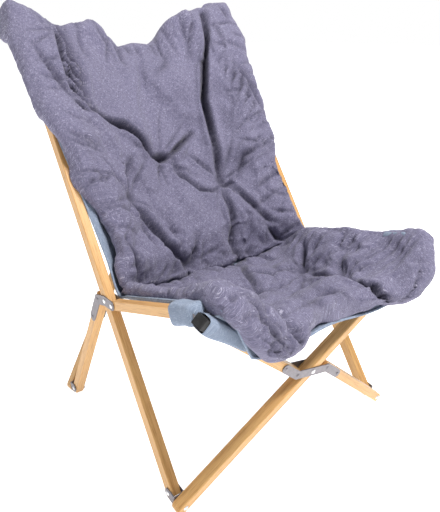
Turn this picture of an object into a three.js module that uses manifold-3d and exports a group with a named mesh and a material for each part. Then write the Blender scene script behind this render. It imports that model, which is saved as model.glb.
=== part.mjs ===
// Folding butterfly sling chair: two wooden side frames joined by a front and a rear cross of
// pivoting bars, pressed steel brackets, a canvas sling with four corner pockets and a tufted pad.
// Millimetres, +Z up, the sitter faces -Y, +X is to the right seen from the front.

import * as THREE from 'three';
import { ConvexGeometry } from 'three/addons/geometries/ConvexGeometry.js';
import { mergeVertices } from 'three/addons/utils/BufferGeometryUtils.js';
import Module from 'manifold-3d';

const wasm = await Module();
wasm.setup();

// Driving sizes of the frame, in millimetres and degrees
const sideSpacing = 566;        // between the middle planes of the two side frames
const footToPivot = 392;        // long bar, front foot pin to leg pivot
const pivotToTop = 657;         // long bar, leg pivot to top pin
const legBehind = 25;           // leg axis behind the leg pivot, across the leg
const seatLength = 294;         // seat bar, pivot to front pin
const longTilt = 55.25;         // degrees, long bar above the floor
const seatTilt = 18.9;          // degrees, seat bar above the floor, rising to the front
const legTilt = 60.94;          // degrees, leg below the pivot, falling to the back
const footReach = 15.24;        // foot of a cross bar below its pin, square to the side bars' pins

// Bar sections: the width lies along the pins, the depth across them
const sideWidth = 20;
const longDepth = 25;
const legDepth = 22;
const seatDepth = 20;
const crossWidth = 24;
const crossDepth = 20;
const barChamfer = 1.4;
const barEndReach = 8;          // wood past the last pin
const earReach = 21;            // wood of a long bar past its top pin
const legTopReach = 12;         // wood of a leg past its first rivet
const cleftReach = 11;          // wood of a split bar past its innermost rivet
const cleftGap = 1.5;           // between crossing bars that lie side by side when folded

// Corner plates and brackets of pressed steel
const plateThickness = 2;
const sidePlateHalfWidth = 10.5;
const crossPlateHalfWidth = 9.5;
const seatPivotUp = 15;         // seat pivot beyond the leg pivot, along the leg
const seatPivotForward = 26;    // and in front of it, across the leg
const legRivetDown = 24;        // first leg rivet below the leg pivot, along the leg
const legRivetSpacing = 60;
const crossRivetReach = 41;     // first rivet of a split half from the cross pivot, along the half
const crossRivetSpacing = 51;
const bracketHalfHeight = 10;
const bracketReach = 18.7;      // from the side bar's pin to the inner face of the bracket's web
const bracketBend = 3;

// Rivets, caps and clearances
const shankRadius = 3;
const headRadius = 5.4;
const headHeight = 1.8;
const smallShankRadius = 2.2;
const smallHeadRadius = 4.2;
const holeClearance = 0.3;
const seatGap = 0.3;            // between faces that touch on the real chair
const capReach = 24;            // outer end of a cap past the pin
const shoulderReach = 7.5;      // full section of wood past the pin, up to the cap
const capWall = 1.8;
const tenonLength = 13;
const overrun = 5;              // cutters run this far past what they cut
const roundSides = 10;

// Canvas sling and tufted pad
const canvas = 2.2;
const clothGap = 0.4;           // between cloth and what it lies on
const clothInset = 17;          // sides of the sling inside the middle planes of the side frames
const slingSag = 133;           // how far the middle of the seat hangs below the side bars
const padCrown = 54;
const padEdge = 34;             // at its sides and hem
const creaseEdge = 11;
const edgeRadius = 30;
const tuftRadius = 48;
const creaseSlope = 0.5;       // rise of the padding away from the crease
const padWall = 6;              // padding behind and beside the ears
const hemReach = 50;            // cloth in front of the seat bars' pins
const hemDrop = 96;             // sides of the front hem below the seat bars
const hemLift = 17;             // cloth over the ends of the front bars, above the seat bars' pins
const pocketInward = 32;        // inside of an ear pocket, from the side frame's middle plane
const pocketOutward = 26;
const pocketDepth = 30;         // mouth of a pocket below the pin
const hoodRound = 14;
const hoodLength = 110;         // a hood down the long bar, from the pin
// Round front corners of a hood: places along the long bar from its top pin and in front of its axis,
// and sides' places from the side frame's middle plane
const hoodFronts = [
  { along: 0, across: 39, radius: 20, sides: [-43, -5] },
  { along: -30, across: 42, radius: 20, sides: [-43, -5] },
  { along: -hoodLength, across: 30, radius: 16, sides: [-33, -5] },
];
const sleeveReach = 3;          // front sleeves past the seat bars' pins
const sleeveLength = 48;
const sleeveHalfHeight = 14.5;
const sleeveHalfWidth = 15;

// Meshes of the cloth
const columns = 18;
const seatRows = 14;
const backRows = 15;
const gatherShare = 0.5;
const normalStep = 0.01;
const creaseGapShare = 0.0025;

const halfSpacing = sideSpacing / 2;
const fullTurn = 2 * Math.PI;
const quarterTurn = fullTurn / 4;
const sideways = new THREE.Vector3(1, 0, 0);
const wood = material('wood', 0xdcb276, 0.5, 0);
const steel = material('steel', 0x7d7882, 0.4, 0.85);
const bright = material('rivet', 0xc8c8cc, 0.3, 1);
const black = material('cap', 0x1c1c1e, 0.6, 0);
const duck = material('canvas', 0x8c96aa, 0.9, 0);
const quilting = material('pad', 0x88859c, 0.95, 0);

const chair = new THREE.Group();
chair.name = 'butterfly_sling_chair';

function material(name, color, roughness, metalness) {
  return new THREE.MeshStandardMaterial({ name, color, roughness, metalness });
}

// Solids: a geometry becomes a solid to be joined or cut, and comes back as a geometry

function solidOf(geometry) {
  const bare = geometry.clone();
  bare.deleteAttribute('normal');
  bare.deleteAttribute('uv');
  const merged = mergeVertices(bare);
  return new wasm.Manifold(new wasm.Mesh({
    numProp: 3,
    vertProperties: Float32Array.from(merged.attributes.position.array),
    triVerts: Uint32Array.from(merged.index.array),
  }));
}

function geometryOf(solid) {
  const cut = solid.getMesh();
  const geometry = new THREE.BufferGeometry();
  geometry.setAttribute('position', new THREE.BufferAttribute(Float32Array.from(cut.vertProperties), 3));
  geometry.setIndex(new THREE.BufferAttribute(Uint32Array.from(cut.triVerts), 1));
  geometry.computeVertexNormals();
  return geometry;
}

function joined(...geometries) {
  return geometryOf(geometries.map(solidOf).reduce((whole, part) => whole.add(part)));
}

function lessened(geometry, ...cutters) {
  return geometryOf(cutters.map(solidOf).reduce((whole, cut) => whole.subtract(cut), solidOf(geometry)));
}

// Places: a frame has u along a bar, w along its pins and v across it

function frame(origin, u, w) {
  return { origin, u, v: new THREE.Vector3().crossVectors(w, u), w };
}

function pointIn(at, along, across, pinward = 0) {
  return at.origin.clone().addScaledVector(at.u, along).addScaledVector(at.v, across)
    .addScaledVector(at.w, pinward);
}

function moved(at, along, across, pinward = 0) {
  return { ...at, origin: pointIn(at, along, across, pinward) };
}

function place(name, geometry, finish, at) {
  const mesh = new THREE.Mesh(geometry, finish);
  mesh.name = name;
  const matrix = new THREE.Matrix4().makeBasis(at.u, at.v, at.w).setPosition(at.origin);
  matrix.decompose(mesh.position, mesh.quaternion, mesh.scale);
  chair.add(mesh);
}

// Directions in the plane of a side frame: 0 degrees points to the back, 90 up
function sideDirection(degrees) {
  const angle = THREE.MathUtils.degToRad(degrees);
  return new THREE.Vector3(0, Math.cos(angle), Math.sin(angle));
}

// Bars, strips and rivets

// Points of an arc about a centre, with as many sides to a full turn as every other round
function arc(along, across, radius, from, to) {
  const steps = Math.max(2, Math.round(Math.abs(to - from) / fullTurn * roundSides));
  return Array.from({ length: steps + 1 }, (_, i) => {
    const angle = from + (to - from) * i / steps;
    return new THREE.Vector2(along + radius * Math.cos(angle), across + radius * Math.sin(angle));
  });
}

function drill(shape, along, across, radius) {
  const circle = arc(along, across, radius + holeClearance, 0, -fullTurn).slice(1);
  shape.holes.push(new THREE.Path(circle));
}

function extruded(shape, thickness, chamfer = 0) {
  const geometry = new THREE.ExtrudeGeometry(shape, {
    depth: thickness - 2 * chamfer,
    bevelEnabled: chamfer > 0,
    bevelSegments: 1,
    bevelThickness: chamfer,
    bevelSize: chamfer,
    bevelOffset: -chamfer,
  });
  geometry.translate(0, 0, chamfer - thickness / 2);
  return geometry;
}

// A bar runs along u from start to end, its pin holes along w; the start may be round
function bar(start, end, depth, width, pins, { roundStart = false, chamfer = barChamfer } = {}) {
  const half = depth / 2;
  const square = [new THREE.Vector2(start, half), new THREE.Vector2(start, -half)];
  const round = arc(start + half, 0, half, quarterTurn, 3 * quarterTurn);
  const shape = new THREE.Shape([
    new THREE.Vector2(end, half), ...(roundStart ? round : square), new THREE.Vector2(end, -half),
  ]);
  for (const [along, radius] of pins) drill(shape, along, 0, radius);
  return extruded(shape, width, chamfer);
}

// A strip of sheet steel follows a bent line with round ends and has a hole at each drilled point
function strip(points, halfWidth, holes) {
  const last = points.length - 1;
  const edge = (sign) => points.map((at, i) => {
    const into = at.clone().sub(points[Math.max(i - 1, 0)]).normalize();
    const out = points[Math.min(i + 1, last)].clone().sub(at).normalize();
    const along = into.clone().add(out).normalize();
    const reach = sign * halfWidth / Math.max(along.dot(out), along.dot(into));
    return new THREE.Vector2(at.x - along.y * reach, at.y + along.x * reach);
  });
  const left = edge(1);
  const right = edge(-1).reverse();
  const endTurn = left[last].clone().sub(points[last]).angle();
  const startTurn = right[last].clone().sub(points[0]).angle();
  const shape = new THREE.Shape([
    ...left.slice(1, last),
    ...arc(points[last].x, points[last].y, halfWidth, endTurn, endTurn - 2 * quarterTurn),
    ...right.slice(1, last),
    ...arc(points[0].x, points[0].y, halfWidth, startTurn, startTurn - 2 * quarterTurn),
  ].reverse());
  for (const [index, radius] of holes) drill(shape, points[index].x, points[index].y, radius);
  return extruded(shape, plateThickness);
}

// A rivet lies along w: a shank with a domed head at its far end, and at its near end unless it is
// a stub, whose shank ends flat
function rivet(from, to, shank, head, stub = false) {
  const dome = [[head, 0], [head * Math.SQRT1_2, headHeight * Math.SQRT1_2], [0, headHeight]];
  const farHead = dome.map(([radius, height]) => [radius, to + height]);
  const nearEnd = stub ? [[0, from]] : dome.map(([radius, height]) => [radius, from - height]).reverse();
  const profile = [...nearEnd, [shank, from], [shank, to], ...farHead];
  const points = profile.map(([radius, height]) => new THREE.Vector2(radius, height));
  const geometry = new THREE.LatheGeometry(points, roundSides);
  geometry.rotateX(quarterTurn);
  return geometry;
}

// Side frames

const sideGrip = sideWidth / 2 + seatGap + plateThickness;
const sidePlateOffset = sideGrip - plateThickness / 2;

function sideFrame(side, sign) {
  const foot = frame(sideways.clone().multiplyScalar(sign * halfSpacing), sideDirection(longTilt), sideways);
  const pivot = moved(foot, footToPivot, 0);
  const ear = moved(foot, footToPivot + pivotToTop, 0);

  // The leg's length follows from its tilt, so that its foot pin is level with the long bar's
  const drop = footToPivot * Math.sin(THREE.MathUtils.degToRad(longTilt));
  const legAngle = THREE.MathUtils.degToRad(legTilt);
  const legLength = (drop + legBehind * Math.cos(legAngle)) / Math.sin(legAngle);
  const plate = frame(pivot.origin, sideDirection(-legTilt), sideways);
  const leg = moved(plate, 0, legBehind);
  const rearFoot = moved(leg, legLength, 0);
  const seatPivot = pointIn(plate, -seatPivotUp, -seatPivotForward);
  const seat = frame(seatPivot, sideDirection(180 - seatTilt), sideways);
  const seatTip = moved(seat, seatLength, 0);

  const legRivets = [legRivetDown, legRivetDown + legRivetSpacing];
  const longPins = [0, footToPivot, footToPivot + pivotToTop].map((along) => [along, shankRadius]);
  const longEnd = footToPivot + pivotToTop + earReach;
  place(`long_bar_${side}`, bar(-barEndReach, longEnd, longDepth, sideWidth, longPins), wood, foot);
  const legPins = [...legRivets.map((along) => [along, smallShankRadius]), [legLength, shankRadius]];
  const legStart = legRivetDown - legTopReach;
  place(`leg_${side}`, bar(legStart, legLength + barEndReach, legDepth, sideWidth, legPins), wood, leg);
  const seatPins = [0, seatLength].map((along) => [along, shankRadius]);
  const seatEnd = seatLength + barEndReach;
  place(`seat_bar_${side}`,
    bar(-barEndReach, seatEnd, seatDepth, sideWidth, seatPins, { roundStart: true }), wood, seat);

  // Corner plates on both faces; the leg rivets are headed over the inner plate
  const line = [
    new THREE.Vector2(-seatPivotUp, -seatPivotForward),
    new THREE.Vector2(0, 0),
    ...legRivets.map((along) => new THREE.Vector2(along, legBehind)),
  ];
  const pivotHoles = [[0, shankRadius], [1, shankRadius]];
  const rivetHoles = [[2, smallShankRadius], [3, smallShankRadius]];
  const outer = strip(line, sidePlateHalfWidth, pivotHoles);
  outer.translate(0, 0, sign * sidePlateOffset);
  const legFasteners = legRivets.map((along) => {
    const fastener = rivet(-sideGrip - seatGap, sideGrip, smallShankRadius, smallHeadRadius);
    if (sign < 0) fastener.rotateX(Math.PI);
    fastener.translate(along, legBehind, 0);
    return fastener;
  });
  place(`corner_plate_outer_${side}`, joined(outer, ...legFasteners), steel, plate);
  const inner = strip(line, sidePlateHalfWidth, [...pivotHoles, ...rivetHoles]);
  place(`corner_plate_inner_${side}`, inner, steel, moved(plate, 0, 0, -sign * sidePlateOffset));
  place(`leg_pivot_${side}`, sidePin(), bright, pivot);
  place(`seat_pivot_${side}`, sidePin(), bright, seat);
  return { foot, pivot, ear, rearFoot, seat, seatTip };
}

function sidePin() {
  return rivet(-sideGrip - seatGap, sideGrip + seatGap, shankRadius, headRadius);
}

// Brackets: a strap bent to a U, with ears astride a side bar and a web in front of its end

const webFar = bracketReach + plateThickness;
const crossOffset = webFar + seatGap + crossWidth / 2;

function bracket(headedWeb) {
  const earEnd = -bracketHalfHeight - overrun;
  const bendAlong = webFar - bracketBend;
  const bendAcross = sideGrip - bracketBend;
  const inner = bracketBend - plateThickness;
  const bent = extruded(new THREE.Shape([
    new THREE.Vector2(earEnd, -sideGrip),
    ...arc(bendAlong, -bendAcross, bracketBend, -quarterTurn, 0),
    ...arc(bendAlong, bendAcross, bracketBend, 0, quarterTurn),
    new THREE.Vector2(earEnd, sideGrip),
    new THREE.Vector2(earEnd, sideGrip - plateThickness),
    ...arc(bendAlong, bendAcross, inner, quarterTurn, 0),
    ...arc(bendAlong, -bendAcross, inner, 0, -quarterTurn),
    new THREE.Vector2(earEnd, plateThickness - sideGrip),
  ]), 2 * bracketHalfHeight);
  bent.rotateX(quarterTurn);

  const face = new THREE.Shape([
    new THREE.Vector2(webFar + overrun, bracketHalfHeight),
    ...arc(0, 0, bracketHalfHeight, quarterTurn, 3 * quarterTurn),
    new THREE.Vector2(webFar + overrun, -bracketHalfHeight),
  ]);
  drill(face, 0, 0, shankRadius);
  const strap = geometryOf(solidOf(bent).intersect(solidOf(extruded(face, 2 * (sideGrip + overrun)))));
  if (headedWeb) {
    const head = rivet(-webFar + seatGap, -bracketReach, shankRadius, headRadius, true);
    head.rotateY(-quarterTurn);
    return joined(strap, head);
  }
  const drillRadius = shankRadius + holeClearance;
  const hole = new THREE.CylinderGeometry(drillRadius, drillRadius, plateThickness + 2 * overrun, roundSides);
  hole.rotateZ(quarterTurn);
  hole.translate(bracketReach, 0, 0);
  return lessened(strap, hole);
}

// A bracket stands on a pin of a side bar and faces the bars of a cross
function mountBracket(corner, pin, outward, headedWeb) {
  const at = frame(pin.origin, outward, sideways);
  place(`bracket_${corner}`, bracket(headedWeb), steel, at);
  place(`bracket_pin_${corner}`, sidePin(), bright, at);
}

// Crosses: a continuous bar rises from left to right; the other is split into two halves that
// lie beside it when folded and are joined across it by a pair of plates

const halfShift = crossDepth + cleftGap;
const crossGrip = crossWidth / 2 + seatGap + plateThickness;

function cappedBar(start, pin, pins, options) {
  const shoulder = pin + shoulderReach;
  const tenonTrim = 2 * (capWall + seatGap);
  const tenon = bar(shoulder - capWall, shoulder + tenonLength, crossDepth - tenonTrim,
    crossWidth - tenonTrim, [], { chamfer: 0 });
  return joined(bar(start, shoulder, crossDepth, crossWidth, pins, options), tenon);
}

function cap(pin) {
  const mouth = pin + shoulderReach;
  const shell = bar(mouth + seatGap, pin + capReach, crossDepth, crossWidth, []);
  const hollow = bar(mouth - overrun, mouth + tenonLength + seatGap, crossDepth - 2 * capWall,
    crossWidth - 2 * capWall, [], { chamfer: 0 });
  return lessened(shell, hollow);
}

// How much of the floor's depth below the pins the outer edge of a leaning cross takes
function floorLean(outward) {
  return Math.abs(outward.z) * (crossOffset + crossWidth / 2 - barChamfer);
}

function crossFrame(low, high, out) {
  const rise = high.clone().sub(low);
  const up = rise.clone().normalize();
  const forward = new THREE.Vector3().crossVectors(sideways, up);
  return { halfRise: rise.length() / 2, up, forward, outward: forward.clone().multiplyScalar(out) };
}

function crossPair(end, low, high, out, floorDrop) {
  const { halfRise, up, forward, outward } = crossFrame(low, high, out);
  const middle = low.clone().addScaledVector(up, halfRise).addScaledVector(outward, crossOffset);
  const diagonal = Math.hypot(halfSpacing, halfRise);
  const slope = Math.atan2(halfRise, halfSpacing);
  const inPlane = (angle) => sideways.clone().multiplyScalar(Math.cos(angle))
    .addScaledVector(up, Math.sin(angle));

  // How far the bars reach past their lower pins, down to the floor
  const footing = (floorDrop - floorLean(outward)) / up.z;
  const roundReach = (footing - crossDepth / 2) / Math.sin(slope) + crossDepth / 2;

  const through = frame(middle, inPlane(slope), forward);
  const throughPins = [-diagonal, 0, diagonal].map((along) => [along, shankRadius]);
  const throughBar = cappedBar(-diagonal - roundReach, diagonal, throughPins, { roundStart: true });
  place(`${end}_bar`, throughBar, wood, through);
  place(`${end}_bar_cap`, cap(diagonal), black, through);

  const splitSlope = slope + Math.asin(halfShift / diagonal);
  const halfLength = Math.sqrt(diagonal ** 2 - halfShift ** 2);
  const squareReach = (footing - crossDepth / 2 * Math.cos(splitSlope)) / Math.sin(splitSlope);
  const split = frame(middle, inPlane(-splitSlope), forward);
  const lower = moved(split, 0, halfShift);
  const upper = frame(pointIn(split, 0, -halfShift), split.u.clone().negate(), forward);
  const crossRivets = [crossRivetReach, crossRivetReach + crossRivetSpacing];
  const halfPins = [...crossRivets.map((along) => [along, smallShankRadius]), [halfLength, shankRadius]];
  const halfStart = crossRivetReach - cleftReach;
  place(`${end}_split_bar_lower`,
    bar(halfStart, halfLength + squareReach, crossDepth, crossWidth, halfPins), wood, lower);
  place(`${end}_split_bar_upper`, cappedBar(halfStart, halfLength, halfPins, {}), wood, upper);
  place(`${end}_split_bar_cap`, cap(halfLength), black, upper);

  // Plates on both faces; the rivets of the outer one are headed over the inner one
  const line = [
    ...crossRivets.toReversed().map((along) => new THREE.Vector2(along, halfShift)),
    new THREE.Vector2(0, 0),
    ...crossRivets.map((along) => new THREE.Vector2(-along, -halfShift)),
  ];
  const ends = [0, 1, 3, 4];
  const facePlate = strip(line, crossPlateHalfWidth, [[2, shankRadius]]);
  facePlate.translate(0, 0, out * (crossGrip - plateThickness / 2));
  const fasteners = ends.map((index) => {
    const fastener = rivet(-crossGrip - seatGap, crossGrip, smallShankRadius, smallHeadRadius);
    if (out < 0) fastener.rotateX(Math.PI);
    fastener.translate(line[index].x, line[index].y, 0);
    return fastener;
  });
  place(`${end}_cross_plate_outer`, joined(facePlate, ...fasteners), steel, split);
  const holes = [...ends.map((index) => [index, smallShankRadius]), [2, shankRadius]];
  place(`${end}_cross_plate_inner`, strip(line, crossPlateHalfWidth, holes), steel,
    moved(split, 0, 0, out * (plateThickness / 2 - crossGrip)));
  const pivotGrip = crossGrip + seatGap;
  place(`${end}_cross_pivot`, rivet(-pivotGrip, pivotGrip, shankRadius, headRadius), bright, split);

  // The rivets that join the bars' ends to the brackets' webs
  const face = crossWidth / 2 + seatGap;
  const whole = rivet(-crossGrip - seatGap, face, shankRadius, headRadius);
  const barSide = rivet(-crossWidth / 2, face, shankRadius, headRadius, true);
  return {
    outward,
    capTop: capReach * Math.sin(slope) + crossDepth / 2 * Math.cos(slope) + 2 * seatGap,
    pins: {
      low_left: moved(through, -diagonal, 0),
      high_right: moved(through, diagonal, 0),
      low_right: moved(lower, halfLength, 0),
      high_left: moved(upper, halfLength, 0),
    },
    rivetAt(corner, opened) {
      const geometry = (opened ? barSide : whole).clone();
      if (out < 0) geometry.rotateX(Math.PI);
      place(`${end}_web_rivet_${corner}`, geometry, bright, this.pins[corner]);
    },
  };
}

// Assembly

const left = sideFrame('left', -1);
const right = sideFrame('right', 1);

// A closed linkage can't be posed as a tree of joints, so the web rivets named here are parted
// between web and bar, and the others are whole
const openedRivets = {
  front: ['low_left', 'low_right'],
  rear: ['low_right', 'high_left', 'high_right'],
};
const onMiddle = (at) => new THREE.Vector3(0, at.origin.y, at.origin.z);
const crossEnds = [
  ['front', onMiddle(left.foot), onMiddle(left.seatTip), 1],
  ['rear', onMiddle(left.rearFoot), onMiddle(left.ear), -1],
];

// The floor is as far below the pins as the deeper of the two crosses needs for its feet
const floorDrop = Math.max(...crossEnds.map(([, low, high, out]) => {
  const { up, outward } = crossFrame(low, high, out);
  return floorLean(outward) + footReach * up.z;
}));
const crosses = Object.fromEntries(crossEnds.map((ends) => [ends[0], crossPair(...ends, floorDrop)]));
const sidePins = {
  front: { low_left: left.foot, high_left: left.seatTip, low_right: right.foot, high_right: right.seatTip },
  rear: { low_left: left.rearFoot, high_left: left.ear, low_right: right.rearFoot, high_right: right.ear },
};
for (const [end, cross] of Object.entries(crosses)) {
  for (const [corner, pin] of Object.entries(sidePins[end])) {
    const opened = openedRivets[end].includes(corner);
    mountBracket(`${end}_${corner}`, pin, cross.outward, opened);
    cross.rivetAt(corner, opened);
  }
}

// Cloth: the sling's upper face is one hanging surface, a point for each place across it (-1 to 1)
// and along it (0 at the front hem to 1 at the ears); it sags between the side bars and drapes over
// the front bars' ends

const halfCloth = halfSpacing - clothInset;
const seatLine = seatDepth / 2 + clothGap + canvas;
const backLine = longDepth / 2 + clothGap + canvas;
const overSeatBar = (along, above = seatLine) => pointIn(left.seat, along, -above);
const overLongBar = (share) => pointIn(left.pivot, (pivotToTop + earReach) * share, backLine);

// Stations along the cloth: a side point, the sag of the middle to the back and down as shares of
// slingSag, the power of the sag's curve across, the share of the ears' step in it, and the half
// width as a share of halfCloth
const stations = [
  { side: overSeatBar(seatLength + hemReach / 2, -hemDrop), sagShares: [0.09, 0.25], power: 4, wideShare: 0.78 },
  { side: overSeatBar(seatLength + hemReach, 0), sagShares: [0.165, 1.0], power: 2.2, wideShare: 0.985 },
  { side: overSeatBar(seatLength + hemReach / 2, hemLift), sagShares: [0.06, 1.12], power: 2.2, wideShare: 1 },
  { side: overSeatBar(seatLength * 0.89), sagShares: [-0.06, 1.045], power: 2.5, wideShare: 1 },
  { side: overSeatBar(seatLength * 0.66), sagShares: [-0.016, 1.01], power: 2.8, wideShare: 1 },
  { side: overSeatBar(seatLength * 0.33), sagShares: [0.04, 0.89], power: 2.8, wideShare: 1 },
  { side: overSeatBar(seatLength * 0.085), sagShares: [0.235, 0.68], power: 2.6, wideShare: 1 },
  { side: overLongBar(0), sagShares: [0.505, 0.335], power: 2.6, wideShare: 1 },
  { side: overLongBar(0.118), sagShares: [0.466, 0.376], power: 2.7, wideShare: 1 },
  { side: overLongBar(0.34), sagShares: [0.52, 0.36], power: 2.8, wideShare: 1.03 },
  { side: overLongBar(0.59), sagShares: [0.436, 0.376], power: 3, wideShare: 1.08 },
  { side: overLongBar(0.8), sagShares: [0.35, 0.43], power: 3.2, wideShare: 1.12 },
  { side: overLongBar(1), sagShares: [0.075, 0.69], power: 4, earShare: 1, wideShare: 1.11 },
];
const creaseStation = 7;
const creaseShare = creaseStation / (stations.length - 1);
const earStepShares = [0.2, 0.7];
const restGrowth = 2.5;          // where the cloth is wider than the sling it lies flat over the bars

// Tufts as shares across, and along the seat or the back from its end at the front or the crease
const seatTuftShares = [[-0.62, 0.66], [0.62, 0.64], [-0.03, 0.5], [-0.56, 0.4], [0.6, 0.42]];
const backTuftShares = [[-0.62, 0.61], [0.6, 0.58], [-0.02, 0.46], [-0.46, 0.36], [0.6, 0.34], [-0.66, 0.13]];

const sideCurve = new THREE.CatmullRomCurve3(stations.map(({ side }) => side));
const sagCurve = new THREE.CatmullRomCurve3(stations.map(
  ({ sagShares: [back, down] }) => new THREE.Vector3(0, back, -down).multiplyScalar(slingSag)));

function between(values, along) {
  const place = THREE.MathUtils.clamp(along, 0, 1) * (values.length - 1);
  const first = Math.min(Math.floor(place), values.length - 2);
  return THREE.MathUtils.lerp(values[first], values[first + 1], place - first);
}

function clothPoint(across, along) {
  const wide = between(stations.map(({ wideShare }) => wideShare), along);
  const reach = Math.min(Math.abs(across) * (1 + restGrowth * Math.max(wide - 1, 0)), 1);
  const power = between(stations.map((station) => station.power), along);
  const ear = between(stations.map(({ earShare = 0 }) => earShare), along);
  const step = THREE.MathUtils.smoothstep(reach, ...earStepShares);
  const hang = 1 - THREE.MathUtils.lerp(reach ** power, step, ear);
  const point = sideCurve.getPoint(along).addScaledVector(sagCurve.getPoint(along), hang);
  point.x = across * halfCloth * wide;
  return point;
}

function facing(across, along) {
  const [west, east] = [Math.max(across - normalStep, -1), Math.min(across + normalStep, 1)];
  const [near, far] = [Math.max(along - normalStep, 0), Math.min(along + normalStep, 1)];
  const sidewise = clothPoint(east, along).sub(clothPoint(west, along));
  const onward = clothPoint(across, far).sub(clothPoint(across, near));
  return sidewise.cross(onward).normalize();
}

// Places from -1 to 1 that lie closer together towards the ends
function gathered(count) {
  return Array.from({ length: count + 1 }, (_, i) => {
    const even = 2 * i / count - 1;
    return (1 - gatherShare) * even + gatherShare * Math.sin(even * quarterTurn);
  });
}

// A closed body between two offsets of the cloth's surface, from one place along it to another
function quilted([from, to], rows, bottom, top, pointAt = clothPoint) {
  const positions = [];
  const indices = [];
  const crosswise = gathered(columns);
  const lengthwise = gathered(rows).map((place) => THREE.MathUtils.lerp(from, to, (place + 1) / 2));
  for (const offset of [bottom, top]) {
    for (const along of lengthwise) {
      for (const across of crosswise) {
        const point = pointAt(across, along).addScaledVector(facing(across, along), offset(across, along));
        positions.push(point.x, point.y, point.z);
      }
    }
  }
  const layerSize = (rows + 1) * (columns + 1);
  const index = (layer, row, column) => layer * layerSize + row * (columns + 1) + column;
  const quad = (a, b, c, d) => indices.push(a, b, c, a, c, d);
  for (let row = 0; row < rows; row += 1) {
    for (let column = 0; column < columns; column += 1) {
      const corners = [[0, 0], [0, 1], [1, 1], [1, 0]];
      const [a, b, c, d] = corners.map(([down, over]) => index(1, row + down, column + over));
      quad(a, b, c, d);
      const [e, f, g, h] = corners.map(([down, over]) => index(0, row + down, column + over));
      quad(e, h, g, f);
    }
  }
  const rim = [
    ...Array.from({ length: columns }, (_, i) => [0, i]),
    ...Array.from({ length: rows }, (_, i) => [i, columns]),
    ...Array.from({ length: columns }, (_, i) => [rows, columns - i]),
    ...Array.from({ length: rows }, (_, i) => [rows - i, 0]),
  ];
  rim.forEach(([row, column], i) => {
    const [nextRow, nextColumn] = rim[(i + 1) % rim.length];
    quad(index(0, row, column), index(0, nextRow, nextColumn),
      index(1, nextRow, nextColumn), index(1, row, column));
  });
  const geometry = new THREE.BufferGeometry();
  geometry.setAttribute('position', new THREE.Float32BufferAttribute(positions, 3));
  geometry.setIndex(indices);
  geometry.computeVertexNormals();
  return geometry;
}

// Padding swells from its edges in a round, and dips to the tufts and into the crease
function padThickness([from, to], endAlong, tuftShares) {
  const tufts = tuftShares.map(([across, share]) => clothPoint(across, THREE.MathUtils.lerp(from, to, share)));
  const round = (distance) => {
    const missing = Math.max(1 - distance / edgeRadius, 0);
    return Math.sqrt(1 - missing ** 2);
  };
  return (across, along) => {
    const here = clothPoint(across, along);
    const fromSide = (1 - Math.abs(across)) * halfCloth;
    const fromEnd = here.distanceTo(clothPoint(across, endAlong));
    const fromCrease = here.distanceTo(clothPoint(across, creaseShare));
    const puff = tufts.reduce((left, tuft) => {
      const distance = here.distanceTo(tuft) / tuftRadius;
      return left * (1 - Math.exp(-(distance ** 2)));
    }, 1);
    const full = padEdge + (padCrown - padEdge) * round(fromSide) * round(fromEnd) * puff;
    return clothGap + Math.min(full, creaseEdge + fromCrease * creaseSlope);
  };
}

// A block with an outline in the side plane, across the chair about a place
function sideBlock(outline, width, place) {
  const geometry = extruded(new THREE.Shape(outline.map(({ y, z }) => new THREE.Vector2(y, z))), width);
  const sidePlane = frame(new THREE.Vector3(), new THREE.Vector3(0, 1, 0), sideways);
  geometry.applyMatrix4(new THREE.Matrix4().makeBasis(sidePlane.u, sidePlane.v, sidePlane.w));
  geometry.translate(place, 0, 0);
  return solidOf(geometry);
}

// A wedge over the top of an ear, round the long bar's front and the cross bar's back, grown by an
// offset and lengthened past its mouth
function earWedge({ ear, pin, sign }, offset, mouth) {
  const front = longDepth / 2 + offset;
  const back = crossWidth / 2 + headHeight + seatGap + offset;
  const top = crosses.rear.capTop + offset;
  const { outward } = crosses.rear;
  const rise = new THREE.Vector3().crossVectors(sideways, outward);
  const rear = pin.origin.clone().addScaledVector(outward, back);
  const outline = [
    rear.clone().addScaledVector(rise, -pocketDepth - mouth),
    rear.clone().addScaledVector(rise, top),
    pointIn(ear, earReach + offset, front),
    pointIn(ear, -pocketDepth - mouth, front),
  ];
  const width = pocketInward + pocketOutward + 2 * offset;
  return sideBlock(outline, width, sign * (halfSpacing + (pocketOutward - pocketInward) / 2));
}

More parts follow.
